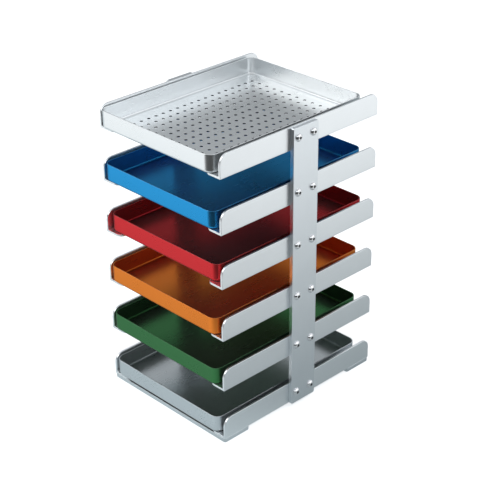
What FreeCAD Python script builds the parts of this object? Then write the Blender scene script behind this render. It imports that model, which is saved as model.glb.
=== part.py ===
"""Instrument tray rack: two upright bars, six pairs of angle rails, two foot strips and six trays.

Millimetres, +Z up, +X to the right, -Y to the front, where the trays' short sides show.
The origin lies under the middle of the rack, level with the undersides of the foot strips.
"""
import FreeCAD, Part
import Sketcher
import math
import os
import re

Vector = FreeCAD.Vector
Rotation = FreeCAD.Rotation
HALF_TURN = Rotation(Vector(0, 0, 1), 180)

# Driving dimensions; level 1 is the lowest, and the top level holds the perforated tray

LEVELS = range(1, 7)
SIZES = {
    "LevelPitch": 50.5,
    "RailLength": 190.0,
    "RailFlange": 21.0,
    "RailLedge": 19.0,
    "RailGauge": 2.0,
    "RailBend": 1.0,
    "FlangeCorner": 9.0,
    "LedgeCorner": 6.0,
    "BarWidth": 30.0,
    "BarGauge": 4.0,
    "BarCorner": 1.5,
    "BarTopDrop": 0.5,
    "BarScrewSpacing": 18.0,
    "BarScrewRise": 11.5,
    "FootDepth": 30.0,
    "FootGauge": 4.0,
    "FootCorner": 2.0,
    "FootScrewSpacing": 18.0,
    "FootScrewInset": 10.0,
    "TrayLength": 183.0,
    "TrayWidth": 140.0,
    "TrayHeight": 17.0,
    "TrayWall": 1.0,
    "TrayCorner": 8.0,
    "TrayFold": 3.0,
    "TraySideGap": 3.5,
    "TraySideShift": 2.5,
    "TrayForward1": 5.2,
    "TrayForward2": 5.5,
    "TrayForward3": 5.4,
    "TrayForward4": 1.6,
    "TrayForward5": 5.2,
    "TrayForward6": 6.6,
    "HoleDiameter": 3.0,
    "HoleColumns": 12,
    "HoleRows": 19,
    "HolePitchAcross": 9.6,
    "HolePitchAlong": 8.4,
    "ScrewDiameter": 4.0,
    "ButtonDiameter": 7.6,
    "ButtonHeight": 2.2,
    "ButtonRound": 1.9,
    "SunkDiameter": 7.5,
    "SocketWidth": 2.5,
    "SocketDepth": 1.3,
    "BarHoleClearance": 0.2,
    "ThreadClearance": 0.02,
}

# Sizes that follow from them

DERIVED = {
    "LevelCount": f"{len(LEVELS)}",
    "HalfWidth": "=TrayWidth / 2 + TraySideGap + RailGauge",
    "RackWidth": "=2 * HalfWidth",
    "TopRail": "=FootGauge + (LevelCount - 1) * LevelPitch",
    "BarHeight": "=TopRail + RailFlange - BarTopDrop - FootGauge",
    "FlangeInside": "=HalfWidth - RailGauge",
    "LedgeLip": "=HalfWidth - RailLedge",
    "BarScrewSide": "=BarScrewSpacing / 2",
    "BarScrewDrop": "=BarHeight / 2 - BarScrewRise",
    "BarScrewLength": "=BarGauge + RailGauge",
    "FootMiddle": "=(RailLength - FootDepth) / 2",
    "FootScrewColumn": "=FlangeInside - FootScrewInset",
    "FootScrewSide": "=FootScrewSpacing / 2",
    "FootScrewNear": "=FootMiddle - FootScrewSide",
    "FootScrewFar": "=FootMiddle + FootScrewSide",
    "FootScrewLength": "=FootGauge + RailGauge",
    "HoleFieldSide": "=(HoleColumns - 1) * HolePitchAcross / 2",
    "HoleFieldEnd": "=(HoleRows - 1) * HolePitchAlong / 2",
    "BarHoleDiameter": "=ScrewDiameter + 2 * BarHoleClearance",
    "ThreadHoleDiameter": "=ScrewDiameter + 2 * ThreadClearance",
    "ScrewRadius": "=ScrewDiameter / 2",
    "ButtonRadius": "=ButtonDiameter / 2",
    "SunkRadius": "=SunkDiameter / 2",
    "SunkDepth": "=SunkRadius - ScrewRadius",
    "SocketCorner": "=SocketWidth / sqrt(3)",
}

doc = FreeCAD.newDocument("instrument_tray_rack")
sheet = doc.addObject("Spreadsheet::Sheet", "Sizes")
for row, (alias, value) in enumerate([*SIZES.items(), *DERIVED.items()], start=1):
    sheet.set(f"A{row}", alias)
    sheet.set(f"B{row}", str(value))
    sheet.setAlias(f"B{row}", alias)
doc.recompute()


def size(alias):
    """The present value of a named size."""
    return float(getattr(sheet, alias))


def bind(target, path, formula):
    """Ties a property of an object to a formula of named sizes."""
    names = "|".join([*SIZES, *DERIVED])
    target.setExpression(path, re.sub(rf"\b({names})\b", r"Sizes.\1", formula))


# Bodies, sketches and features

def new_body(label):
    body = doc.addObject("PartDesign::Body", label)
    body.Label = label
    return body


def place(body, rotation, x=None, y=None, z=None):
    """Turns a body, then ties its position to the sheet."""
    body.Placement = FreeCAD.Placement(Vector(), rotation)
    for axis, formula in (("x", x), ("y", y), ("z", z)):
        if formula:
            bind(body, f"Placement.Base.{axis}", formula)


def origin_part(body, role):
    return next(item for item in body.Origin.OriginFeatures if item.Role == role)


def new_sketch(body, name, plane, height=None):
    """A sketch on an origin plane of its body, raised along the plane's normal."""
    sketch = body.newObject("Sketcher::SketchObject", name)
    sketch.AttachmentSupport = (origin_part(body, plane), [""])
    sketch.MapMode = "FlatFace"
    if height:
        bind(sketch, "AttachmentOffset.Base.z", height)
    return sketch


def distance(place):
    """The signed distance that a place such as "-BarScrewSide" stands for; None lies on the axis."""
    if place is None:
        return 0.0
    value = size(place.lstrip("-"))
    return -value if place.startswith("-") else value


def measure(sketch, kind, alias, *where):
    """Adds a dimension to a sketch and ties it to the sheet."""
    index = sketch.addConstraint(Sketcher.Constraint(kind, *where, size(alias)))
    bind(sketch, f"Constraints[{index}]", alias)


def fix_point(sketch, geometry, end, across, up):
    """Dimensions a point from the sketch's origin."""
    for kind, place, axis in (("DistanceX", across, -2), ("DistanceY", up, -1)):
        if place is None:
            sketch.addConstraint(Sketcher.Constraint("PointOnObject", geometry, end, axis))
        elif place.startswith("-"):
            measure(sketch, kind, place.lstrip("-"), geometry, end, -1, 1)
        else:
            measure(sketch, kind, place, -1, 1, geometry, end)


def draw_outline(sketch, points):
    """Straight lines from point to point and back to the first."""
    for index, point in enumerate(points):
        sketch.addGeometry(Part.LineSegment(point, points[(index + 1) % len(points)]), False)
    for index in range(len(points)):
        sketch.addConstraint(Sketcher.Constraint("Coincident", index, 2, (index + 1) % len(points), 1))


def draw_profile(sketch, corners):
    """A closed outline of straight lines, with each corner dimensioned from the origin."""
    draw_outline(sketch, [Vector(distance(across), distance(up), 0) for across, up in corners])
    for index, (across, up) in enumerate(corners):
        fix_point(sketch, index, 1, across, up)


def draw_rectangle(sketch, width, depth):
    """A rectangle centred on the sketch's origin."""
    x = size(width) / 2
    y = size(depth) / 2
    draw_outline(sketch, [Vector(-x, -y, 0), Vector(x, -y, 0), Vector(x, y, 0), Vector(-x, y, 0)])
    for line, kind in enumerate(("Horizontal", "Vertical", "Horizontal", "Vertical")):
        sketch.addConstraint(Sketcher.Constraint(kind, line))
    sketch.addConstraint(Sketcher.Constraint("Symmetric", 0, 1, 2, 1, -1, 1))
    measure(sketch, "DistanceX", width, 0, 1, 0, 2)
    measure(sketch, "DistanceY", depth, 1, 1, 1, 2)


def draw_circle(sketch, diameter, across, up):
    """A circle whose centre is dimensioned from the origin."""
    centre = Vector(distance(across), distance(up), 0)
    index = sketch.addGeometry(Part.Circle(centre, Vector(0, 0, 1), size(diameter) / 2), False)
    measure(sketch, "Diameter", diameter, index)
    fix_point(sketch, index, 3, across, up)


def pad(body, name, sketch, length, symmetric=False):
    feature = body.newObject("PartDesign::Pad", name)
    feature.Profile = sketch
    feature.SideType = "Symmetric" if symmetric else "One side"
    bind(feature, "Length", length)
    doc.recompute()
    return feature


def cut_through(body, name, sketch):
    """Cuts a sketch right through the body, both ways from its plane."""
    feature = body.newObject("PartDesign::Pocket", name)
    feature.Profile = sketch
    feature.SideType = "Symmetric"
    feature.Type = "ThroughAll"
    doc.recompute()
    return feature


def edges_where(feature, test):
    names = []
    for index, edge in enumerate(feature.Shape.Edges, start=1):
        if test(edge):
            names.append(f"Edge{index}")
    return names


def along(edge, axis):
    """Whether an edge is straight and runs along an axis."""
    if not isinstance(edge.Curve, Part.Line):
        return False
    return abs(abs(edge.Curve.Direction.dot(axis)) - 1.0) < 1e-6


def dress(body, kind, name, base, edges, length):
    """A fillet or a chamfer on some edges of a feature."""
    feature = body.newObject(f"PartDesign::{kind}", name)
    feature.Base = (base, edges)
    bind(feature, "Radius" if kind == "Fillet" else "Size", length)
    doc.recompute()
    return feature


def repeat(body, name, originals, rows):
    """Repeats some features, or the whole body if none are given, along its axes.

    A row is (axis role, spacing, count, reversed). A spacing list of -1 keeps the row evenly spaced.
    """
    feature = body.newObject("PartDesign::LinearPattern", name)
    if originals:
        feature.Originals = originals
    else:
        feature.TransformMode = "Whole shape"
    for suffix, (role, spacing, count, backwards) in zip(("", "2"), rows):
        setattr(feature, f"Direction{suffix}", (origin_part(body, role), [""]))
        setattr(feature, f"Mode{suffix}", "Spacing")
        setattr(feature, f"Spacings{suffix}", [-1])
        setattr(feature, f"Reversed{suffix}", backwards)
        bind(feature, f"Offset{suffix}", spacing)
        bind(feature, f"Occurrences{suffix}", count)
    body.Tip = feature
    doc.recompute()
    return feature


# Upright bars: flat bar outside the rails, with a pair of clearance holes at each level

def make_bar(label, rotation, side):
    body = new_body(label)
    outline = new_sketch(body, f"{label}_outline", "YZ_Plane")
    draw_rectangle(outline, "BarWidth", "BarHeight")
    blank = pad(body, f"{label}_blank", outline, "BarGauge")
    corners = edges_where(blank, lambda edge: along(edge, Vector(1, 0, 0)))
    dress(body, "Fillet", f"{label}_corners", blank, corners, "BarCorner")
    holes = new_sketch(body, f"{label}_hole_pair", "YZ_Plane")
    for across in ("-BarScrewSide", "BarScrewSide"):
        draw_circle(holes, "BarHoleDiameter", across, "-BarScrewDrop")
    pair = cut_through(body, f"{label}_lowest_holes", holes)
    repeat(body, f"{label}_holes", [pair], [("Z_Axis", "LevelPitch", "LevelCount", False)])
    place(body, rotation, x=f"{side} * HalfWidth", z="FootGauge + BarHeight / 2")
    return body


# Angle rails: flange outside, ledge inside, all four free corners rounded

def make_rail(label, rotation, level):
    body = new_body(label)
    profile = new_sketch(body, f"{label}_profile", "XZ_Plane")
    flange = [("HalfWidth", None), ("HalfWidth", "RailFlange"), ("FlangeInside", "RailFlange")]
    ledge = [("FlangeInside", "RailGauge"), ("LedgeLip", "RailGauge"), ("LedgeLip", None)]
    draw_profile(profile, flange + ledge)
    angle = pad(body, f"{label}_angle", profile, "RailLength", symmetric=True)

    def is_inner_bend(edge):
        across = edge.CenterOfMass.x - size("FlangeInside")
        up = edge.CenterOfMass.z - size("RailGauge")
        return along(edge, Vector(0, 1, 0)) and abs(across) < 1e-4 and abs(up) < 1e-4

    bend = dress(body, "Fillet", f"{label}_bend", angle, edges_where(angle, is_inner_bend), "RailBend")

    def is_flange_end(edge):
        return along(edge, Vector(1, 0, 0)) and abs(edge.CenterOfMass.z - size("RailFlange")) < 1e-4

    flange_ends = edges_where(bend, is_flange_end)
    topped = dress(body, "Fillet", f"{label}_flange_ends", bend, flange_ends, "FlangeCorner")

    def is_ledge_end(edge):
        return along(edge, Vector(0, 0, 1)) and abs(edge.CenterOfMass.x - size("LedgeLip")) < 1e-4

    dress(body, "Fillet", f"{label}_ledge_ends", topped, edges_where(topped, is_ledge_end), "LedgeCorner")
    holes = new_sketch(body, f"{label}_thread_pair", "YZ_Plane")
    for across in ("-BarScrewSide", "BarScrewSide"):
        draw_circle(holes, "ThreadHoleDiameter", across, "BarScrewRise")
    cut_through(body, f"{label}_threads", holes)
    if level == 1:
        sink_ledge(body, label)
    place(body, rotation, z=f"FootGauge + {level - 1} * LevelPitch")
    return body


def sink_ledge(body, label):
    """Four countersunk holes through the ledge of a lowest rail, two over each foot strip."""
    holes = new_sketch(body, f"{label}_foot_holes", "XY_Plane")
    for along_rail in ("-FootScrewFar", "-FootScrewNear", "FootScrewNear", "FootScrewFar"):
        draw_circle(holes, "ThreadHoleDiameter", "FootScrewColumn", along_rail)
    drilled = cut_through(body, f"{label}_foot_drilling", holes)

    def is_hole_top(edge):
        return (
            isinstance(edge.Curve, Part.Circle)
            and abs(edge.Curve.Axis.z) > 0.999
            and abs(edge.Curve.Radius - size("ThreadHoleDiameter") / 2) < 1e-4
            and abs(edge.CenterOfMass.z - size("RailGauge")) < 1e-4
        )

    dress(body, "Chamfer", f"{label}_sinks", drilled, edges_where(drilled, is_hole_top), "SunkDepth")


# Foot strips: flat bar across the rack under the ends of the lowest rails

def make_foot(label, side):
    body = new_body(label)
    outline = new_sketch(body, f"{label}_outline", "XY_Plane")
    draw_rectangle(outline, "RackWidth", "FootDepth")
    blank = pad(body, f"{label}_blank", outline, "FootGauge")
    corners = edges_where(blank, lambda edge: along(edge, Vector(0, 0, 1)))
    dress(body, "Fillet", f"{label}_corners", blank, corners, "FootCorner")
    holes = new_sketch(body, f"{label}_threads", "XY_Plane")
    for across in ("-FootScrewColumn", "FootScrewColumn"):
        for up in ("-FootScrewSide", "FootScrewSide"):
            draw_circle(holes, "ThreadHoleDiameter", across, up)
    cut_through(body, f"{label}_drilling", holes)
    place(body, Rotation(), y=f"{side} * FootMiddle")
    return body


# Trays: a stamped sheet dish with straight walls, rounded corners and a folded floor edge

def make_tray(label, level):
    body = new_body(label)
    outline = new_sketch(body, f"{label}_outline", "XY_Plane")
    draw_rectangle(outline, "TrayWidth", "TrayLength")
    block = pad(body, f"{label}_block", outline, "TrayHeight")
    uprights = edges_where(block, lambda edge: along(edge, Vector(0, 0, 1)))
    rounded = dress(body, "Fillet", f"{label}_corners", block, uprights, "TrayCorner")
    rim = edges_where(rounded, lambda edge: abs(edge.BoundBox.ZMax) < 1e-4)
    folded = dress(body, "Fillet", f"{label}_fold", rounded, rim, "TrayFold")
    shell = body.newObject("PartDesign::Thickness", f"{label}_shell")
    top = max(range(len(folded.Shape.Faces)), key=lambda index: folded.Shape.Faces[index].CenterOfMass.z)
    shell.Base = (folded, [f"Face{top + 1}"])
    bind(shell, "Value", "TrayWall")
    doc.recompute()
    if level == LEVELS[-1]:
        perforate(body, label)
    lift = f"FootGauge + {level - 1} * LevelPitch + RailGauge"
    place(body, Rotation(), x="-1 * TraySideShift", y=f"-1 * TrayForward{level}", z=lift)
    return body


def perforate(body, label):
    """A square field of round holes through the floor, centred on the tray."""
    seed = new_sketch(body, f"{label}_hole", "XY_Plane")
    draw_circle(seed, "HoleDiameter", "-HoleFieldSide", "-HoleFieldEnd")
    hole = cut_through(body, f"{label}_first_hole", seed)
    across = ("X_Axis", "HolePitchAcross", "HoleColumns", False)
    repeat(body, f"{label}_holes", [hole], [across, ("Y_Axis", "HolePitchAlong", "HoleRows", False)])


# Screws: each group starts as one screw along +Z of its body, head up, and is repeated

def cut_socket(body, label, head_top):
    """A hexagon socket sunk into the head."""
    sketch = new_sketch(body, f"{label}_hexagon", "XY_Plane", head_top)
    corner = size("SocketCorner")
    turns = [math.radians(60 * side) for side in range(6)]
    draw_outline(sketch, [Vector(corner * math.cos(turn), corner * math.sin(turn), 0) for turn in turns])
    for side in range(1, 6):
        sketch.addConstraint(Sketcher.Constraint("Equal", 0, side))
    ring = sketch.addGeometry(Part.Circle(Vector(), Vector(0, 0, 1), corner), True)
    sketch.addConstraint(Sketcher.Constraint("Coincident", ring, 3, -1, 1))
    for side in range(6):
        sketch.addConstraint(Sketcher.Constraint("PointOnObject", side, 1, ring))
    sketch.addConstraint(Sketcher.Constraint("PointOnObject", 0, 1, -1))
    measure(sketch, "Radius", "SocketCorner", ring)
    socket = body.newObject("PartDesign::Pocket", f"{label}_socket")
    socket.Profile = sketch
    bind(socket, "Length", "SocketDepth")
    doc.recompute()
    return socket


def revolve(body, label, sketch):
    feature = body.newObject("PartDesign::Revolution", f"{label}_turned")
    feature.Profile = sketch
    feature.ReferenceAxis = (origin_part(body, "Z_Axis"), [""])
    feature.Angle = 360.0
    doc.recompute()
    return feature


def make_bar_screws(label, side):
    """Button head screws, two at each rail; the shank ends flush with the flange's inner face."""
    body = new_body(label)
    profile = new_sketch(body, f"{label}_profile", "XZ_Plane")
    shank = [(None, "-BarScrewLength"), ("ScrewRadius", "-BarScrewLength"), ("ScrewRadius", None)]
    head = [("ButtonRadius", None), ("ButtonRadius", "ButtonHeight"), (None, "ButtonHeight")]
    draw_profile(profile, shank + head)
    turned = revolve(body, label, profile)

    def is_crown(edge):
        return isinstance(edge.Curve, Part.Circle) and abs(edge.CenterOfMass.z - size("ButtonHeight")) < 1e-4

    dress(body, "Fillet", f"{label}_dome", turned, edges_where(turned, is_crown), "ButtonRound")
    cut_socket(body, label, "ButtonHeight")
    levels = ("X_Axis", "LevelPitch", "LevelCount", True)
    repeat(body, f"{label}_group", None, [levels, ("Y_Axis", "BarScrewSpacing", "2", False)])
    turn = Rotation(Vector(0, 1, 0), 90)
    if side < 0:
        turn = HALF_TURN.multiply(turn)
    x = f"{side} * (HalfWidth + BarGauge)"
    place(body, turn, x=x, y=f"{-side} * BarScrewSide", z="FootGauge + BarScrewRise")
    return body


def make_foot_screws(label, side):
    """Countersunk screws, flush with the ledges above and with the strip's underside below."""
    body = new_body(label)
    profile = new_sketch(body, f"{label}_profile", "XZ_Plane")
    shank = [(None, "-FootScrewLength"), ("ScrewRadius", "-FootScrewLength"), ("ScrewRadius", "-SunkDepth")]
    draw_profile(profile, [*shank, ("SunkRadius", None), (None, None)])
    revolve(body, label, profile)
    cut_socket(body, label, None)
    across = ("X_Axis", "2 * FootScrewColumn", "2", False)
    repeat(body, f"{label}_group", None, [across, ("Y_Axis", "FootScrewSpacing", "2", False)])
    first_y = f"{side} * FootMiddle - FootScrewSide"
    place(body, Rotation(), x="-1 * FootScrewColumn", y=first_y, z="FootGauge + RailGauge")
    return body


# The rack

nodes = [
    make_bar("upright_bar_right", Rotation(), 1),
    make_bar("upright_bar_left", HALF_TURN, -1),
    make_foot("foot_strip_front", -1),
    make_foot("foot_strip_rear", 1),
]
for level in LEVELS:
    nodes.append(make_rail(f"rail_right_{level}", Rotation(), level))
    nodes.append(make_rail(f"rail_left_{level}", HALF_TURN, level))
    nodes.append(make_tray(f"tray_{level}", level))
nodes.append(make_bar_screws("bar_screws_right", 1))
nodes.append(make_bar_screws("bar_screws_left", -1))
nodes.append(make_foot_screws("foot_screws_front", -1))
nodes.append(make_foot_screws("foot_screws_rear", 1))

# Check every object, then write each piece

doc.recompute()
for item in doc.Objects:
    if "Invalid" in item.State or "Error" in item.State:
        raise RuntimeError(f"{item.Label} failed: {item.State}")
for body in nodes:
    if body.Shape.isNull() or not body.Shape.isValid():
        raise RuntimeError(f"{body.Label} has no valid shape")

os.makedirs("parts", exist_ok=True)
for body in nodes:
    body.Shape.exportStep(f"parts/{body.Label}.step")
    print(body.Label, len(body.Shape.Solids), round(body.Shape.Volume, 1))
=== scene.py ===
import math

import bpy
from mathutils import Matrix, Vector


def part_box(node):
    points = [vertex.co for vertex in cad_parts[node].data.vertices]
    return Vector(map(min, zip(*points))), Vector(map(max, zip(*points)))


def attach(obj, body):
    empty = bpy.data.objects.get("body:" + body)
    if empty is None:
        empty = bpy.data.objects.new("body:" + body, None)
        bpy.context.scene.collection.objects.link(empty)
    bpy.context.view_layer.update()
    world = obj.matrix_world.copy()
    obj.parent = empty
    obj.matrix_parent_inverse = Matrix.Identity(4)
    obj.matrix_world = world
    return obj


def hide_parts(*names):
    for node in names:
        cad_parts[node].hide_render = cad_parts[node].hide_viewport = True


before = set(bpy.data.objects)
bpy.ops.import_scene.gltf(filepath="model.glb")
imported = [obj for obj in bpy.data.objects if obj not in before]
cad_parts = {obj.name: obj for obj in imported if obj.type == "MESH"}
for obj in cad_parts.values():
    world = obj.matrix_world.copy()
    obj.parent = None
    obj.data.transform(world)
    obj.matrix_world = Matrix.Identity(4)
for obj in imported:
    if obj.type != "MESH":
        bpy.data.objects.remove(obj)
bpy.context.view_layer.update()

# Foot strips
# Two lengths of flat aluminium bar lie across the rack under the ends of the lowest rails.
# They are sawn from extruded bar, rounded at the corners, drilled and satin anodised.

STRIP_CORNER = 0.002
FOOT_SCREW_COLUMN = 0.0635
FOOT_SCREW_SIDE = 0.009
HALF_STRIP = 0.002
THREAD = 0.00202
BIT_LENGTH = 0.02
BROKEN_EDGE = 0.00035
SHARP_ANGLE = math.radians(35)
SMOOTH_ANGLE = math.radians(50)
SAME_PLACE = 1e-5


def choose(piece):
    """Makes a piece the only one that the next tool works on."""
    bpy.ops.object.select_all(action="DESELECT")
    piece.select_set(True)
    bpy.context.view_layer.objects.active = piece


def saw_block(name, low, high):
    """A block of metal between two corners, ready to be worked on."""
    bpy.ops.object.select_all(action="DESELECT")
    middle = [(a + b) / 2 for a, b in zip(low, high)]
    span = [b - a for a, b in zip(low, high)]
    bpy.ops.mesh.primitive_cube_add(size=1.0, location=middle, scale=span)
    block = bpy.context.object
    block.name = name
    bpy.ops.object.transform_apply(location=True, rotation=True, scale=True)
    return block


def near(a, b):
    return abs(a - b) < SAME_PLACE


def round_edges(piece, wanted, radius, steps):
    """Rounds the edges of a piece whose two ends pass a test together."""
    bpy.ops.object.mode_set(mode="EDIT")
    bpy.ops.mesh.select_mode(type="EDGE")
    bpy.ops.mesh.select_all(action="DESELECT")
    bpy.ops.object.mode_set(mode="OBJECT")
    corners = piece.data.vertices
    for edge in piece.data.edges:
        edge.select = bool(wanted(*(corners[i].co for i in edge.vertices)))
    bpy.ops.object.mode_set(mode="EDIT")
    bpy.ops.mesh.bevel(offset=radius, segments=steps, profile=0.5, affect="EDGES", clamp_overlap=False)
    bpy.ops.object.mode_set(mode="OBJECT")


def use_modifier(piece, kind, **settings):
    """Adds a modifier to a piece and applies it."""
    choose(piece)
    modifier = piece.modifiers.new(kind.lower(), kind)
    for setting, value in settings.items():
        setattr(modifier, setting, value)
    bpy.ops.object.modifier_apply(modifier=modifier.name)


def break_edges(piece, width=BROKEN_EDGE):
    """Takes the sharpness off every edge, as the finishing drum does."""
    use_modifier(piece, "BEVEL", width=width, segments=2, limit_method="ANGLE", angle_limit=SHARP_ANGLE)


def cut_away(piece, tool):
    """Takes the shape of a tool out of a piece and puts the tool away."""
    use_modifier(piece, "BOOLEAN", operation="DIFFERENCE", solver="EXACT", object=tool)
    bpy.data.objects.remove(tool)


def drill(piece, centres, radius, along_x=False):
    """Round holes through a piece, upright or along X."""
    turn = (0.0, math.pi / 2, 0.0) if along_x else (0.0, 0.0, 0.0)
    bits = []
    for centre in centres:
        bpy.ops.mesh.primitive_cylinder_add(
            vertices=24, radius=radius, depth=BIT_LENGTH, location=centre, rotation=turn
        )
        bits.append(bpy.context.object)
    if len(bits) > 1:
        choose(bits[-1])
        for bit in bits:
            bit.select_set(True)
        bpy.ops.object.join()
    cut_away(piece, bits[-1])


def even_shading(piece):
    """Keeps flat faces flat and round ones smooth."""
    choose(piece)
    bpy.ops.object.shade_smooth_by_angle(angle=SMOOTH_ANGLE)
    use_modifier(piece, "WEIGHTED_NORMAL", keep_sharp=True)


def copy_piece(piece, name, move=(0.0, 0.0, 0.0), half_turn=False):
    """A copy with its own mesh, turned half round the rack's middle if need be, then moved."""
    twin = piece.copy()
    twin.data = piece.data.copy()
    twin.name = name
    bpy.context.scene.collection.objects.link(twin)
    if half_turn:
        twin.data.transform(Matrix.Rotation(math.pi, 4, "Z"))
    twin.data.transform(Matrix.Translation(move))
    return twin


strip_low, strip_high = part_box("foot_strip_front")
strip_middle = (strip_low.y + strip_high.y) / 2
front_strip = saw_block("front_foot_strip", strip_low, strip_high)
round_edges(front_strip, lambda a, b: near(a.x, b.x) and near(a.y, b.y), STRIP_CORNER, 6)
break_edges(front_strip)
strip_holes = []
for column in (-FOOT_SCREW_COLUMN, FOOT_SCREW_COLUMN):
    for row in (-FOOT_SCREW_SIDE, FOOT_SCREW_SIDE):
        strip_holes.append((column, strip_middle + row, HALF_STRIP))
drill(front_strip, strip_holes, THREAD)
even_shading(front_strip)

STRIP_COLOUR = (0.71, 0.74, 0.76)
STRIP_SHEEN = 0.38
WORN_EDGE = (0.90, 0.92, 0.93)
ROLLED_ACROSS = (60.0, 1500.0, 1500.0)
ROLL_LINES = 0.008
CLOUD_SCALE = 34.0
GRIT_SCALE = 2600.0
RUBBED_REACH = 0.0008
RUBBED_TURN = (0.995, 0.90)
PATCH_SCALE = 260.0
PATCH_LEAST = 0.35
GLOSS_SPREAD = 0.012
RELIEF = 0.014
RELIEF_DEPTH = 0.00002
OXIDE = 0.30
OXIDE_ROUGHNESS = 0.75


def add_node(tree, kind, inputs, **settings):
    """A shader node with its settings; an input is a value or another node's output."""
    node = tree.nodes.new(kind)
    for setting, value in settings.items():
        setattr(node, setting, value)
    for socket, value in inputs.items():
        if isinstance(value, bpy.types.NodeSocket):
            tree.links.new(value, node.inputs[socket])
        else:
            node.inputs[socket].default_value = value
    return node


def noise(tree, place, scale, detail):
    """Soft random spots, smaller where the scale is larger."""
    inputs = {"Vector": place, "Scale": scale, "Detail": detail}
    return add_node(tree, "ShaderNodeTexNoise", inputs).outputs[0]


def ramp(tree, value, span, ends, **settings):
    """Carries a value over from one range to another, and holds it at both ends."""
    inputs = {0: value, 1: span[0], 2: span[1], 3: ends[0], 4: ends[1]}
    return add_node(tree, "ShaderNodeMapRange", inputs, **settings).outputs[0]


def combine(tree, operation, one, other):
    """Two numbers added, multiplied or compared."""
    return add_node(tree, "ShaderNodeMath", {0: one, 1: other}, operation=operation).outputs[0]


def scaled(tree, colour, amount):
    """A colour made lighter or darker."""
    return add_node(tree, "ShaderNodeVectorMath", {0: colour, 3: amount}, operation="SCALE").outputs[0]


def reach_along(tree, vector, direction):
    """How far a vector runs in a direction."""
    inputs = {0: vector, 1: direction}
    return add_node(tree, "ShaderNodeVectorMath", inputs, operation="DOT_PRODUCT").outputs["Value"]


def mixed(tree, amount, one, other):
    """One colour that turns into another as the amount goes from 0 to 1."""
    inputs = {"Factor": amount, 6: one, 7: other}
    return add_node(tree, "ShaderNodeMix", inputs, data_type="RGBA").outputs[2]


def anodise(name, colour, worn, sheen, grain, shade=0.04, wear=0.55, rim=1.0, flat=1.0, haze=0.05):
    """Satin anodised metal: rolled lines, blasted grit, soft clouds in the dye and paler broken edges.

    grain stretches the rolled lines, which run the way of its smallest number. rim is how pale the metal
    looks edge on, flat how much darker its upward faces are painted as painted shade, and haze the pale
    bloom of its grit.
    """
    finish = bpy.data.materials.new(name)
    finish.use_nodes = True
    tree = finish.node_tree
    shader = tree.nodes["Principled BSDF"]
    place = add_node(tree, "ShaderNodeTexCoord", {}).outputs["Object"]
    rolled = add_node(tree, "ShaderNodeMapping", {"Vector": place, "Scale": grain}).outputs[0]
    lines = noise(tree, rolled, 1.0, 3.0)
    clouds = noise(tree, place, CLOUD_SCALE, 4.0)
    grit = noise(tree, place, GRIT_SCALE, 2.0)

    rounded = add_node(tree, "ShaderNodeBevel", {"Radius": RUBBED_REACH}, samples=6).outputs[0]
    true = add_node(tree, "ShaderNodeNewGeometry", {}).outputs["Normal"]
    edge = ramp(tree, reach_along(tree, rounded, true), RUBBED_TURN, (0.0, wear))
    patches = ramp(tree, noise(tree, place, PATCH_SCALE, 3.0), (0.30, 0.62), (PATCH_LEAST, 1.0))
    rubbed = combine(tree, "MULTIPLY", edge, patches)

    deep = [channel * (1.0 - shade) for channel in colour]
    light = [min(1.0, channel * (1.0 + shade)) for channel in colour]
    dye = mixed(tree, clouds, (*deep, 1.0), (*light, 1.0))
    streak = ramp(tree, lines, (0.3, 0.7), (1.0 - ROLL_LINES, 1.0 + ROLL_LINES))
    # Painted shade: faces that look upward are made darker by flat, so that tray floors read darker.
    facing = add_node(tree, "ShaderNodeSeparateXYZ", {0: true}).outputs["Z"]
    depth = ramp(tree, facing, (0.4, 0.95), (1.0, flat))
    painted_shade_and_streaks = scaled(tree, dye, combine(tree, "MULTIPLY", streak, depth))
    skin = mixed(tree, rubbed, painted_shade_and_streaks, (*worn, 1.0))
    tree.links.new(skin, shader.inputs["Base Color"])

    dulled = combine(tree, "ADD", lines, clouds)
    gloss = ramp(tree, dulled, (0.6, 1.4), (sheen - GLOSS_SPREAD, sheen + GLOSS_SPREAD))
    tree.links.new(gloss, shader.inputs["Roughness"])
    relief = {"Strength": RELIEF, "Distance": RELIEF_DEPTH, "Height": combine(tree, "ADD", lines, grit)}
    bump = add_node(tree, "ShaderNodeBump", relief).outputs[0]
    tree.links.new(bump, shader.inputs["Normal"])
    shader.inputs["Metallic"].default_value = 1.0
    shader.inputs["Specular Tint"].default_value = (rim, rim, rim, 1.0)
    shader.inputs["Coat Weight"].default_value = OXIDE
    shader.inputs["Coat Roughness"].default_value = OXIDE_ROUGHNESS
    shader.inputs["Sheen Weight"].default_value = haze
    return finish


flat_bar = anodise("strip_aluminium", STRIP_COLOUR, WORN_EDGE, STRIP_SHEEN, ROLLED_ACROSS)
front_strip.data.materials.append(flat_bar)
rear_strip = copy_piece(front_strip, "rear_foot_strip", (0.0, -2 * strip_middle, 0.0))
for strip, node in ((front_strip, "foot_strip_front"), (rear_strip, "foot_strip_rear")):
    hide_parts(node)
    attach(strip, "rack")

# Angle rails
# Six pairs of equal lengths of angle carry the trays: a flange outside and a ledge inside, with the free
# corners rounded. They are folded from 2 mm aluminium sheet, tapped for the bars' screws and satin anodised.
# The lowest pair is also countersunk for the screws that hold it down on the foot strips.

GAUGE = 0.002
FOLD = 0.001
FLANGE_CORNER = 0.009
LEDGE_CORNER = 0.006
SCREW_SIDE = 0.009
SCREW_RISE = 0.0115
SINK = 0.00175
SINK_TAPER = 0.002
LEVEL = 0.9
RAIL_COLOUR = (0.86, 0.88, 0.895)
SATIN_SHEEN = 0.34
ROLLED_LENGTHWISE = (1500.0, 60.0, 1500.0)

folded_sheet = anodise("rail_aluminium_satin", RAIL_COLOUR, WORN_EDGE, SATIN_SHEEN, ROLLED_LENGTHWISE)


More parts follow.
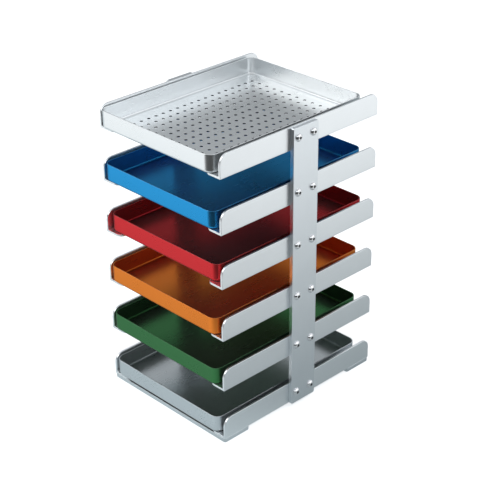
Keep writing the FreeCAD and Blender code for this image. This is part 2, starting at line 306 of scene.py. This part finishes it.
def pick_faces(piece, wanted):
    """Opens a piece for editing with the faces picked that pass a test."""
    bpy.ops.object.mode_set(mode="EDIT")
    bpy.ops.mesh.select_mode(type="FACE")
    bpy.ops.mesh.select_all(action="DESELECT")
    bpy.ops.object.mode_set(mode="OBJECT")
    for face in piece.data.polygons:
        face.select = bool(wanted(face))
    bpy.ops.object.mode_set(mode="EDIT")


def fold_rail(name, low, high):
    """One right-hand rail: the ledge, with the flange drawn up along its outer edge."""
    shelf = low.z + GAUGE
    flange_inside = high.x - GAUGE
    rail = saw_block(name, low, (high.x, high.y, shelf))
    bpy.ops.object.mode_set(mode="EDIT")
    bpy.ops.mesh.select_all(action="SELECT")
    bpy.ops.mesh.bisect(plane_co=(flange_inside, 0.0, 0.0), plane_no=(1.0, 0.0, 0.0))
    pick_faces(rail, lambda face: face.normal.z > LEVEL and face.center.x > flange_inside)
    bpy.ops.mesh.extrude_region_move(TRANSFORM_OT_translate={"value": (0.0, 0.0, high.z - shelf)})
    bpy.ops.object.mode_set(mode="OBJECT")

    def in_fold(a, b):
        return all(near(end.x, flange_inside) and near(end.z, shelf) for end in (a, b))

    def flange_end(a, b):
        return all(near(end.z, high.z) for end in (a, b)) and near(a.y, b.y)

    def ledge_end(a, b):
        return all(near(end.x, low.x) for end in (a, b)) and near(a.y, b.y)

    round_edges(rail, in_fold, FOLD, 4)
    round_edges(rail, flange_end, FLANGE_CORNER, 10)
    round_edges(rail, ledge_end, LEDGE_CORNER, 8)
    break_edges(rail)
    return rail


rail_low, rail_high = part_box("rail_right_2")
tapped = [(rail_high.x, side * SCREW_SIDE, rail_low.z + SCREW_RISE) for side in (-1, 1)]
upper_rail = fold_rail("right_rail_level_2", rail_low, rail_high)
drill(upper_rail, tapped, THREAD, along_x=True)
foot_low, foot_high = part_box("rail_right_1")
foot_rail = fold_rail("right_rail_level_1", foot_low, foot_high)
drill(foot_rail, [(x, y, foot_low.z + SCREW_RISE) for x, y, z in tapped], THREAD, along_x=True)
for end in (-1, 1):
    for row in (-FOOT_SCREW_SIDE, FOOT_SCREW_SIDE):
        centre = Vector((FOOT_SCREW_COLUMN, end * strip_middle + row, foot_low.z))
        drill(foot_rail, [centre], THREAD)
        bpy.ops.object.select_all(action="DESELECT")
        bpy.ops.mesh.primitive_cone_add(
            vertices=24, radius1=THREAD, radius2=THREAD + SINK_TAPER, depth=SINK_TAPER,
            location=centre + Vector((0.0, 0.0, GAUGE - SINK + SINK_TAPER / 2)),
        )
        cut_away(foot_rail, bpy.context.object)
for rail in (upper_rail, foot_rail):
    even_shading(rail)
    rail.data.materials.append(folded_sheet)
rails = {"rail_right_2": upper_rail, "rail_right_1": foot_rail}
rails["rail_left_1"] = copy_piece(foot_rail, "left_rail_level_1", half_turn=True)
rails["rail_left_2"] = copy_piece(upper_rail, "left_rail_level_2", half_turn=True)
for level in range(3, 7):
    lift = Vector((0.0, 0.0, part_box(f"rail_right_{level}")[0].z - rail_low.z))
    rails[f"rail_right_{level}"] = copy_piece(upper_rail, f"right_rail_level_{level}", lift)
    rails[f"rail_left_{level}"] = copy_piece(upper_rail, f"left_rail_level_{level}", lift, half_turn=True)
for node, rail in rails.items():
    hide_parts(node)
    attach(rail, "rack")

# Upright bars
# One length of flat aluminium bar stands on each side and holds the six rails at their middles.
# Each is sawn, rounded at its corners, drilled in pairs for the screws and satin anodised.

BAR_CORNER = 0.0015
CLEARANCE_HOLE = 0.0022
BAR_COLOUR = (0.755, 0.785, 0.81)
ROLLED_UPWARD = (1500.0, 1500.0, 60.0)

upright_bar = anodise("upright_aluminium", BAR_COLOUR, WORN_EDGE, SATIN_SHEEN, ROLLED_UPWARD)
bar_low, bar_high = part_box("upright_bar_right")
right_bar = saw_block("right_upright", bar_low, bar_high)
round_edges(right_bar, lambda a, b: near(a.y, b.y) and near(a.z, b.z), BAR_CORNER, 6)
break_edges(right_bar)
bar_holes = []
for level in range(1, 7):
    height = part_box(f"rail_right_{level}")[0].z + SCREW_RISE
    bar_holes += [(bar_low.x, -SCREW_SIDE, height), (bar_low.x, SCREW_SIDE, height)]
drill(right_bar, bar_holes, CLEARANCE_HOLE, along_x=True)
even_shading(right_bar)
right_bar.data.materials.append(upright_bar)
left_bar = copy_piece(right_bar, "left_upright", half_turn=True)
for bar, node in ((right_bar, "upright_bar_right"), (left_bar, "upright_bar_left")):
    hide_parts(node)
    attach(bar, "rack")

# Bar screws
# A pair of M4 button head screws at each rail and side goes through the bar into the tapped flange.
# They are stainless steel, cold headed to a shallow dome, with a bright tumbled surface and a hexagon
# socket painted dark as painted shade.

HEAD_RADIUS = 0.0038
HEAD_HEIGHT = 0.0022
DOME = 0.0019
CROWN = 0.0043
SHANK_RADIUS = 0.002
SOCKET = 0.0025
SOCKET_DEPTH = 0.0013
SOCKET_REACH = 0.56 * SOCKET
SCREW_EDGE = 0.00008
STEEL = (0.80, 0.80, 0.81)
STEEL_BRIGHT = (0.90, 0.90, 0.90)
# Painted shade: the inside of the socket is coloured nearly black.
SOCKET_PAINTED_SHADE = (0.10, 0.10, 0.11)
STEEL_SHEEN = 0.17
SOCKET_SHEEN = 0.40
NO_GRAIN = (900.0, 900.0, 900.0)

screw_steel = anodise("tumbled_steel", STEEL, STEEL_BRIGHT, STEEL_SHEEN, NO_GRAIN, shade=0.08)
socket_painted_shade = anodise("socket_painted_shade", SOCKET_PAINTED_SHADE, STEEL, SOCKET_SHEEN, NO_GRAIN, wear=0.2)


def round_the_head(screw, radius, height):
    """Bevels the top edge of a button head and presses the bevel onto one shallow sphere."""

    def top_edge(a, b):
        return all(near(end.z, height) and near(end.xy.length, radius) for end in (a, b))

    round_edges(screw, top_edge, DOME, 7)
    land = radius - DOME
    for corner in screw.data.vertices:
        reach = corner.co.xy.length
        if corner.co.z > height - DOME - SAME_PLACE and reach > land - SAME_PLACE:
            fall = math.sqrt(CROWN**2 - land**2) - math.sqrt(CROWN**2 - reach**2)
            corner.co.z = height - fall


def head_screw(name, radius, height, shank, countersunk):
    """One screw standing on the origin, head up, with its socket open to the top."""
    bpy.ops.object.select_all(action="DESELECT")
    bpy.ops.mesh.primitive_cylinder_add(
        vertices=36, radius=radius, depth=height, location=(0.0, 0.0, height / 2)
    )
    screw = bpy.context.object
    screw.name = name
    bpy.ops.object.transform_apply(location=True, rotation=True, scale=True)
    pick_faces(screw, lambda face: face.normal.z < -LEVEL)
    if countersunk:
        narrow = SHANK_RADIUS / radius
        bpy.ops.transform.resize(value=(narrow, narrow, 1.0), center_override=(0.0, 0.0, 0.0))
        drop = height - shank
    else:
        bpy.ops.mesh.inset(thickness=radius - SHANK_RADIUS)
        drop = -shank
    bpy.ops.mesh.extrude_region_move(TRANSFORM_OT_translate={"value": (0.0, 0.0, drop)})
    bpy.ops.object.mode_set(mode="OBJECT")
    if not countersunk:
        round_the_head(screw, radius, height)

    bpy.ops.object.select_all(action="DESELECT")
    bpy.ops.mesh.primitive_cylinder_add(
        vertices=6, radius=SOCKET / math.sqrt(3), depth=2 * SOCKET_DEPTH, location=(0.0, 0.0, height)
    )
    cut_away(screw, bpy.context.object)
    break_edges(screw, SCREW_EDGE)
    screw.data.materials.append(screw_steel)
    screw.data.materials.append(socket_painted_shade)
    # The faces inside the socket get the dark painted-shade finish.
    for face in screw.data.polygons:
        sunk_in = height - SOCKET_DEPTH - SAME_PLACE < face.center.z < height - SAME_PLACE
        if sunk_in and face.center.xy.length < SOCKET_REACH:
            face.material_index = 1
    return screw


def set_screws(name, screw, places, turn):
    """Copies of one screw, turned the same way, put in their places and kept as one set."""
    copies = []
    for place in places:
        twin = copy_piece(screw, f"{name}_{len(copies) + 1}")
        twin.data.transform(Matrix.Translation(place) @ turn)
        copies.append(twin)
    choose(copies[0])
    for twin in copies:
        twin.select_set(True)
    bpy.ops.object.join()
    copies[0].name = name
    even_shading(copies[0])
    return copies[0]


button = head_screw("button_screw", HEAD_RADIUS, HEAD_HEIGHT, bar_high.x - bar_low.x + GAUGE, False)
right_places = [(bar_high.x, y, z) for x, y, z in bar_holes]
right_screws = set_screws("right_bar_screws", button, right_places, Matrix.Rotation(math.pi / 2, 4, "Y"))
left_screws = copy_piece(right_screws, "left_bar_screws", half_turn=True)
bpy.data.objects.remove(button)
for group, node in ((right_screws, "bar_screws_right"), (left_screws, "bar_screws_left")):
    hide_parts(node)
    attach(group, "rack")

# Foot screws
# Two M4 countersunk stainless steel screws at each corner hold the lowest rails down on the foot strips.
# Their heads lie a hair below the ledge, so that the lowest tray slides over them, and their ends stop as
# far short of the strip's underside.

SUNK_RADIUS = 0.00375
SET_BACK = 0.0001

sunk_height = SUNK_RADIUS - SHANK_RADIUS
length = foot_low.z + GAUGE - 2 * SET_BACK
sunk = head_screw("sunk_screw", SUNK_RADIUS, sunk_height, length, True)
head_foot = foot_low.z + GAUGE - SET_BACK - sunk_height
front_places = [(x, y, head_foot) for x, y, z in strip_holes]
front_screws = set_screws("front_foot_screws", sunk, front_places, Matrix.Identity(4))
rear_screws = copy_piece(front_screws, "rear_foot_screws", (0.0, -2 * strip_middle, 0.0))
bpy.data.objects.remove(sunk)
for group, node in ((front_screws, "foot_screws_front"), (rear_screws, "foot_screws_rear")):
    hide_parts(node)
    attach(group, "rack")

# Trays
# Instrument trays of one size slide on the ledges: straight walls, rounded corners and a small fold at the
# floor. Each is deep drawn from 1 mm aluminium sheet, trimmed at the rim, blasted and anodised in its own
# colour. Its floor is painted darker as painted shade, and its underside is rougher and painted darker and
# greyer as painted shade.

TRAY_WALL = 0.001
TRAY_CORNER = 0.008
TRAY_FOLD = 0.003
RIM_EDGE = 0.0003
TRAY_SHEEN = 0.28
UNDERSIDE_SHEEN = 0.50
# The underside's colour is painted shade: the dye, greyed and darkened.
UNDERSIDE_SHADE_SHARE = 0.5
UNDERSIDE_SHADE_GREY = 0.155
DRAWN_LENGTHWISE = (1100.0, 50.0, 1100.0)

# For each level: the finish, the dye, the worn edges, and how the blasted surface blooms (rim, flat, haze).
# flat is how dark the upward faces are painted, a painted shade. The lowest tray has the top tray's natural
# finish, painted darker as painted shade.
TRAY_FINISHES = {
    # The lowest tray: the natural finish painted darker as painted shade.
    1: ("tray_grey", (0.675, 0.71, 0.73), (0.86, 0.88, 0.90), (0.5, 0.75, 0.09)),
    2: ("tray_green", (0.050, 0.205, 0.068), (0.25, 0.42, 0.28), (0.5, 0.75, 0.09)),
    3: ("tray_orange", (0.93, 0.25, 0.032), (0.94, 0.50, 0.28), (0.5, 0.70, 0.04)),
    4: ("tray_red", (0.70, 0.030, 0.037), (0.80, 0.30, 0.30), (0.5, 0.50, 0.07)),
    5: ("tray_blue", (0.020, 0.305, 0.66), (0.35, 0.55, 0.80), (0.5, 0.75, 0.04)),
}


def draw_tray(name, low, high):
    """One plain tray: a rounded block, folded at its foot, opened at the top and given its wall."""
    tray = saw_block(name, low, high)
    round_edges(tray, lambda a, b: near(a.x, b.x) and near(a.y, b.y), TRAY_CORNER, 12)
    round_edges(tray, lambda a, b: near(a.z, low.z) and near(b.z, low.z), TRAY_FOLD, 6)
    pick_faces(tray, lambda face: face.normal.z > LEVEL)
    bpy.ops.mesh.delete(type="ONLY_FACE")
    bpy.ops.object.mode_set(mode="OBJECT")
    use_modifier(tray, "SOLIDIFY", thickness=TRAY_WALL, offset=-1.0, use_even_offset=True)
    break_edges(tray, RIM_EDGE)
    return tray


def finish_tray(tray, level, name, dye, worn, bloom):
    """Anodises a tray, rougher underneath and painted darker there as painted shade, and puts it on its own
    body.
    """
    rim, flat, haze = bloom
    finish = anodise(
        f"{name}_anodised", dye, worn, TRAY_SHEEN, DRAWN_LENGTHWISE, rim=rim, flat=flat, haze=haze
    )
    # Painted shade: the underside gets the dye greyed and darkened.
    shaded_underside = [UNDERSIDE_SHADE_SHARE * channel + UNDERSIDE_SHADE_GREY for channel in dye]
    underside = anodise(
        f"{name}_underside", shaded_underside, worn, UNDERSIDE_SHEEN, DRAWN_LENGTHWISE, shade=0.08
    )
    tray.data.materials.append(finish)
    tray.data.materials.append(underside)
    floor_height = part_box(f"tray_{level}")[0].z + TRAY_WALL / 2
    for face in tray.data.polygons:
        if face.normal.z < -LEVEL and face.center.z < floor_height:
            face.material_index = 1
    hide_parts(f"tray_{level}")
    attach(tray, f"tray_body_{level}")


tray_low, tray_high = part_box("tray_1")
plain_tray = draw_tray("lowest_tray", tray_low, tray_high)
even_shading(plain_tray)
trays = {1: plain_tray}
for level in range(2, 6):
    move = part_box(f"tray_{level}")[0] - tray_low
    trays[level] = copy_piece(plain_tray, f"tray_level_{level}", move)
for level, tray in trays.items():
    finish_tray(tray, level, *TRAY_FINISHES[level])

# Perforated tray
# The top tray is the same drawn tray with a square field of round drain holes through its floor.
# The holes are punched before it is blasted and anodised in the natural colour. Their walls are painted
# dark as painted shade.

HOLE_RADIUS = 0.0015
HOLE_COLUMNS = 12
HOLE_ROWS = 19
PITCH_ACROSS = 0.0096
PITCH_ALONG = 0.0084
PUNCH_LENGTH = 0.008
PLAIN = (0.775, 0.795, 0.805)
PLAIN_WORN = (0.90, 0.92, 0.93)
PLAIN_BLOOM = (1.0, 1.0, 0.05)
# Painted shade: the walls of the drain holes are coloured nearly black.
BORE_PAINTED_SHADE = (0.07, 0.075, 0.08)
BORE_WORN = (0.20, 0.21, 0.22)
BORE_SHEEN = 0.50

top_low, top_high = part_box("tray_6")
drain_tray = draw_tray("perforated_tray", top_low, top_high)
middle = (top_low + top_high) / 2
first_hole = (
    middle.x - PITCH_ACROSS * (HOLE_COLUMNS - 1) / 2,
    middle.y - PITCH_ALONG * (HOLE_ROWS - 1) / 2,
    top_low.z,
)
bpy.ops.object.select_all(action="DESELECT")
bpy.ops.mesh.primitive_cylinder_add(vertices=16, radius=HOLE_RADIUS, depth=PUNCH_LENGTH, location=first_hole)
punches = bpy.context.object
for count, step in ((HOLE_COLUMNS, (PITCH_ACROSS, 0.0, 0.0)), (HOLE_ROWS, (0.0, PITCH_ALONG, 0.0))):
    use_modifier(
        punches, "ARRAY", count=count, use_relative_offset=False, use_constant_offset=True,
        constant_offset_displace=step,
    )
cut_away(drain_tray, punches)
even_shading(drain_tray)
finish_tray(drain_tray, 6, "tray_plain", PLAIN, PLAIN_WORN, PLAIN_BLOOM)

# The hole walls get the dark painted-shade finish.
bore = anodise("hole_walls_painted_shade", BORE_PAINTED_SHADE, BORE_WORN, BORE_SHEEN, NO_GRAIN, wear=0.1)
drain_tray.data.materials.append(bore)
half_field = (PITCH_ACROSS * HOLE_COLUMNS / 2, PITCH_ALONG * HOLE_ROWS / 2)
for face in drain_tray.data.polygons:
    off = face.center - middle
    in_field = abs(off.x) < half_field[0] and abs(off.y) < half_field[1]
    if in_field and abs(face.normal.z) < 0.5:
        face.material_index = 2

# Studio
# The rack stands on a seamless pale table that shows white and keeps the rack's own soft shadow. What the
# metal mirrors of the table is a painted reflection: a painted shadow round the rack, brighter farther out
# and on the window side, and painted shade towards the camera's side. Round it is a soft white room with a
# window at the right, a brighter panel in front and a dimmer ceiling. Three soft lamps help the room.

TABLE_SIZE = 24.0
FLOOR_COLOUR = (0.80, 0.81, 0.82)
FLOOR_ROUGHNESS = 0.9
FLOOR_SHINE = 0.1
FLOOR_LIFT = 0.58
FIBRE_SCALE = 30.0
WHITE = (1.0, 1.0, 1.0, 1.0)
# What the metal mirrors of the table is painted: a dark painted shadow round the rack, lighter on the window
# side, brighter farther out, and painted shade towards the camera's side.
NEAR_RACK_PAINTED_SHADOW = (0.355, 0.41, 0.43)
FAR_PAPER = (1.28, 1.31, 1.32)
NEAR_TO_FAR = (0.08, 0.58)
FAR_CURVE = 1.28
BRIGHT_SIDE = (0.7071, 0.7071, 0.0)
NEAR_SIDES = (-0.05, 0.06)
NEAR_LIGHT = (1.65, 0.91)
FAR_SIDES = (-0.06, 0.13)
FAR_LIGHT = (1.02, 1.0)
CAMERA_SIDE = (0.7071, -0.7071, 0.0)
FRONT_SHADE_FADE = (0.24, 0.44)
FRONT_PAINTED_SHADE = 0.06

bpy.ops.object.select_all(action="DESELECT")
bpy.ops.mesh.primitive_plane_add(size=TABLE_SIZE, location=(0.0, 0.0, 0.0))
table = bpy.context.object
table.name = "table"
seamless = bpy.data.materials.new("seamless_table")
seamless.use_nodes = True
tree = seamless.node_tree
paper = tree.nodes["Principled BSDF"]
paper.inputs["Roughness"].default_value = FLOOR_ROUGHNESS
paper.inputs["Specular IOR Level"].default_value = FLOOR_SHINE
place = add_node(tree, "ShaderNodeTexCoord", {}).outputs["Object"]
tint = ramp(tree, noise(tree, place, FIBRE_SCALE, 3.0), (0.3, 0.7), (0.995, 1.005))
tree.links.new(scaled(tree, FLOOR_COLOUR, tint), paper.inputs["Base Color"])
rays = add_node(tree, "ShaderNodeLightPath", {}).outputs
lift = combine(tree, "MULTIPLY", rays["Is Camera Ray"], FLOOR_LIFT)
glow = add_node(tree, "ShaderNodeEmission", {"Color": WHITE, "Strength": lift}).outputs[0]
lit = add_node(tree, "ShaderNodeAddShader", {0: paper.outputs[0], 1: glow}).outputs[0]

axes = add_node(tree, "ShaderNodeSeparateXYZ", {0: place}).outputs
reach = combine(tree, "MAXIMUM", axes["X"], combine(tree, "MULTIPLY", axes["Y"], -1.0))
far = combine(tree, "POWER", ramp(tree, reach, NEAR_TO_FAR, (0.0, 1.0)), FAR_CURVE)
side = reach_along(tree, place, BRIGHT_SIDE)
# Painted shadow round the rack, seen only in the metal.
painted_shadow_near_rack = scaled(tree, NEAR_RACK_PAINTED_SHADOW, ramp(tree, side, NEAR_SIDES, NEAR_LIGHT))
distant = scaled(tree, FAR_PAPER, ramp(tree, side, FAR_SIDES, FAR_LIGHT))
sheet = mixed(tree, far, painted_shadow_near_rack, distant)
across = reach_along(tree, place, CAMERA_SIDE)
# Painted shade: the mirrored table turns dark towards the camera's side.
strength = ramp(tree, across, FRONT_SHADE_FADE, (1.0, FRONT_PAINTED_SHADE), interpolation_type="SMOOTHSTEP")
painted_reflection = add_node(tree, "ShaderNodeEmission", {"Color": sheet, "Strength": strength}).outputs[0]
seen = add_node(tree, "ShaderNodeMixShader", {0: rays["Is Glossy Ray"], 1: lit, 2: painted_reflection}).outputs[0]
tree.links.new(seen, tree.nodes["Material Output"].inputs["Surface"])
table.data.materials.append(seamless)

ROOM_TINT = (0.92, 0.965, 1.0, 1.0)
HORIZON = 0.03
ZENITH = 0.85
WALL_HEIGHT = (0.28, 0.56)
WINDOW = 0.90
WINDOW_SIDE = (0.4, 0.8)
WINDOW_TOP = (0.48, 0.62)
FRONT_PANEL = 1.20
PANEL_SIDE = (0.5, 0.8)
PANEL_FOOT = (0.30, 0.40)
CEILING = 0.45
CEILING_EDGE = (0.70, 0.95)

room = bpy.data.worlds.new("white_room")
bpy.context.scene.world = room
room.use_nodes = True
sky = room.node_tree
backdrop = sky.nodes["Background"]
backdrop.inputs["Color"].default_value = ROOM_TINT
way = add_node(sky, "ShaderNodeTexCoord", {}).outputs["Generated"]
up = add_node(sky, "ShaderNodeSeparateXYZ", {0: way}).outputs["Z"]
low = ramp(sky, up, WINDOW_TOP, (1.0, 0.0))
wide = ramp(sky, reach_along(sky, way, BRIGHT_SIDE), WINDOW_SIDE, (0.0, WINDOW))
window = combine(sky, "MULTIPLY", wide, low)
front = ramp(sky, reach_along(sky, way, CAMERA_SIDE), PANEL_SIDE, (0.0, FRONT_PANEL))
above = combine(sky, "MULTIPLY", front, ramp(sky, up, PANEL_FOOT, (0.0, 1.0)))
panel = combine(sky, "MULTIPLY", above, low)
walls = combine(sky, "ADD", ramp(sky, up, WALL_HEIGHT, (HORIZON, ZENITH)), window)
ceiling = ramp(sky, up, CEILING_EDGE, (1.0, CEILING))
dome = combine(sky, "MULTIPLY", combine(sky, "ADD", walls, panel), ceiling)
rays = add_node(sky, "ShaderNodeLightPath", {}).outputs
shown = add_node(sky, "ShaderNodeMix", {"Factor": rays["Is Camera Ray"], 2: dome, 3: 1.0}).outputs[0]
sky.links.new(shown, backdrop.inputs["Strength"])

AIM = Vector((0.0, 0.0, 0.12))


def soft_lamp(name, place, size, power, tint):
    """A square lamp on a stand, turned to the middle of the rack."""
    lamp = bpy.data.lights.new(name, "AREA")
    lamp.shape = "SQUARE"
    lamp.size = size
    lamp.energy = power
    lamp.color = tint
    stand = bpy.data.objects.new(name, lamp)
    stand.location = place
    stand.rotation_euler = (AIM - Vector(place)).to_track_quat("-Z", "Y").to_euler()
    bpy.context.scene.collection.objects.link(stand)


soft_lamp("front_left_lamp", (-0.9, -1.5, 1.5), 1.4, 13.0, (1.0, 1.0, 0.99))
soft_lamp("top_lamp", (0.0, 0.2, 1.8), 1.4, 3.0, (1.0, 1.0, 1.0))
soft_lamp("right_lamp", (1.3, 0.4, 1.2), 1.0, 3.0, (0.97, 0.985, 1.0))

# Camera
# It stands in front and to the right, above the rack, with a long lens, as the photograph was taken.
# Its place, turn and lens were solved from the corners of the bars, rails and trays.

LENS = 97.816
STAND = (0.791938, -0.758516, 0.717567)
HEADING = math.radians(45.829)
TILT = math.radians(90.0 - 28.235)
ROLL = math.radians(-0.464)

lens = bpy.data.cameras.new("camera")
lens.lens = LENS
lens.sensor_width = 36.0
lens.clip_start = 0.01
lens.clip_end = 100.0
viewer = bpy.data.objects.new("camera", lens)
aim = Matrix.Rotation(HEADING, 4, "Z") @ Matrix.Rotation(TILT, 4, "X") @ Matrix.Rotation(ROLL, 4, "Z")
viewer.matrix_world = Matrix.Translation(STAND) @ aim
bpy.context.scene.collection.objects.link(viewer)
bpy.context.scene.camera = viewer
bpy.context.scene.view_settings.view_transform = "Standard"
